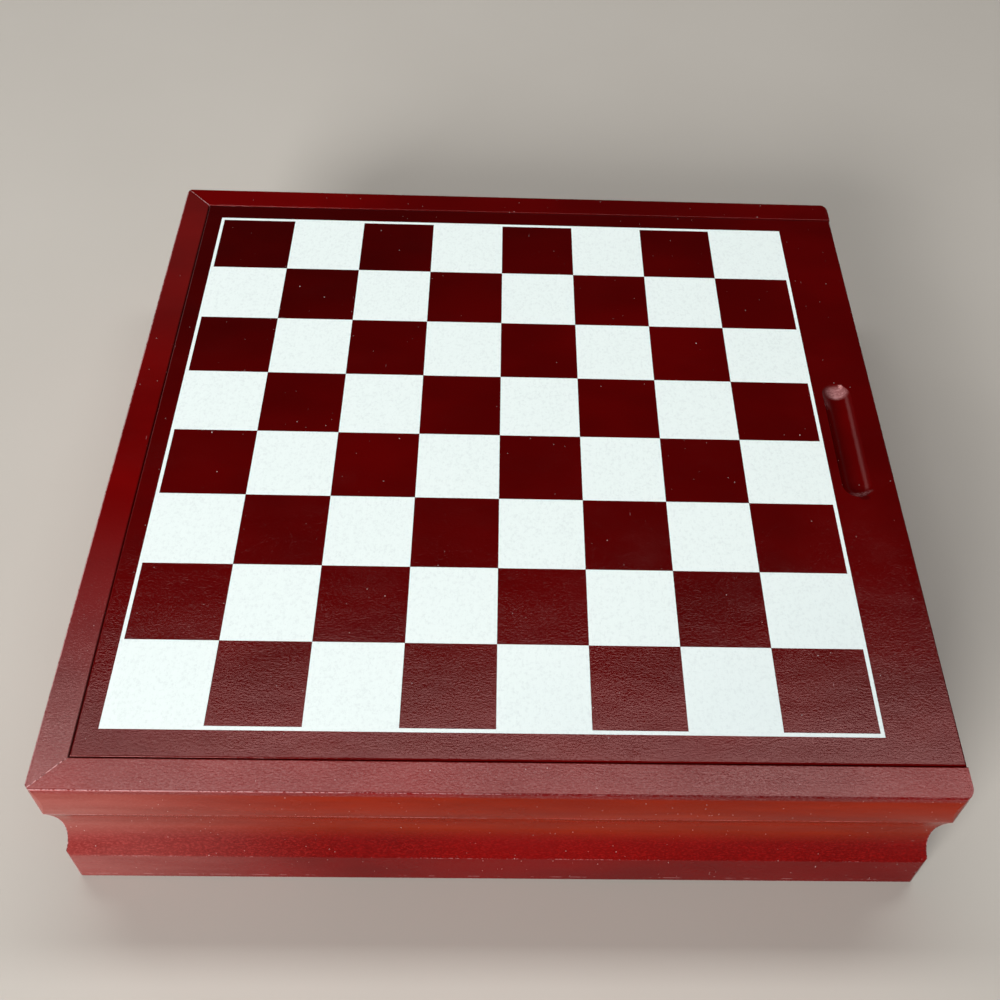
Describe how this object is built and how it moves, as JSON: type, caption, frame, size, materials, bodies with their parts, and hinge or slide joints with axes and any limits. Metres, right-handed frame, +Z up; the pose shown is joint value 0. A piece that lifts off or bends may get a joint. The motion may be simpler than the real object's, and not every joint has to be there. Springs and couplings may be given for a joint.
{
  "type": "chess box with drawers",
  "caption": "Square lacquered wooden chess box: a sliding lid carries the chessboard above a felt-lined divided tray, and drawers pull out at the players' ends below it.",
  "frame": {"origin": "middle of the box's underside, on the surface that it stands on", "axes": "+X is the way the lid slides out, +Y is towards the back, +Z is up"},
  "size_m": [0.2953, 0.2936, 0.0696],
  "materials": {
    "red_lacquer": "dark red gloss lacquer",
    "white_print": "screen-printed white ink under clear lacquer",
    "bare_wood": "planed, unfinished",
    "plywood": "sanded thin plywood",
    "green_felt": "short felt",
    "steel_brads": "plain"
  },
  "bodies": {
    "case": {"front_wall": "red_lacquer", "back_wall": "red_lacquer", "left_wall": "red_lacquer", "right_wall": "red_lacquer", "mitre_keys": "plywood", "bottom_panel": "plywood", "panel_brads": "steel_brads", "front_bearer": "bare_wood", "back_bearer": "bare_wood", "centre_rail": "bare_wood", "deck_panel": "plywood", "deck_felt": "green_felt", "front_lining": "green_felt", "back_lining": "green_felt", "left_lining": "green_felt", "right_lining": "green_felt", "long_divider": "bare_wood", "left_cross_divider": "bare_wood", "right_cross_divider": "bare_wood"},
    "lid": {"lid_panel": "red_lacquer", "board_print": "white_print"},
    "left_drawer": {"left_drawer_front": "red_lacquer", "left_drawer_near_side": "bare_wood", "left_drawer_far_side": "bare_wood", "left_drawer_back": "bare_wood", "left_drawer_bottom": "plywood", "left_drawer_divider": "bare_wood", "left_drawer_felt": "green_felt"},
    "right_drawer": {"right_drawer_front": "red_lacquer", "right_drawer_near_side": "bare_wood", "right_drawer_far_side": "bare_wood", "right_drawer_back": "bare_wood", "right_drawer_bottom": "plywood", "right_drawer_divider": "bare_wood", "right_drawer_felt": "green_felt"}
  },
  "joints": [
    {"name": "lid_slide", "type": "slide", "parent": "case", "child": "lid", "axis": [1, 0, 0], "range_m": [0, 0.29]},
    {"name": "left_drawer_slide", "type": "slide", "parent": "case", "child": "left_drawer", "axis": [-1, 0, 0], "range_m": [0, 0.118]},
    {"name": "right_drawer_slide", "type": "slide", "parent": "case", "child": "right_drawer", "axis": [1, 0, 0], "range_m": [0, 0.118]}
  ]
}
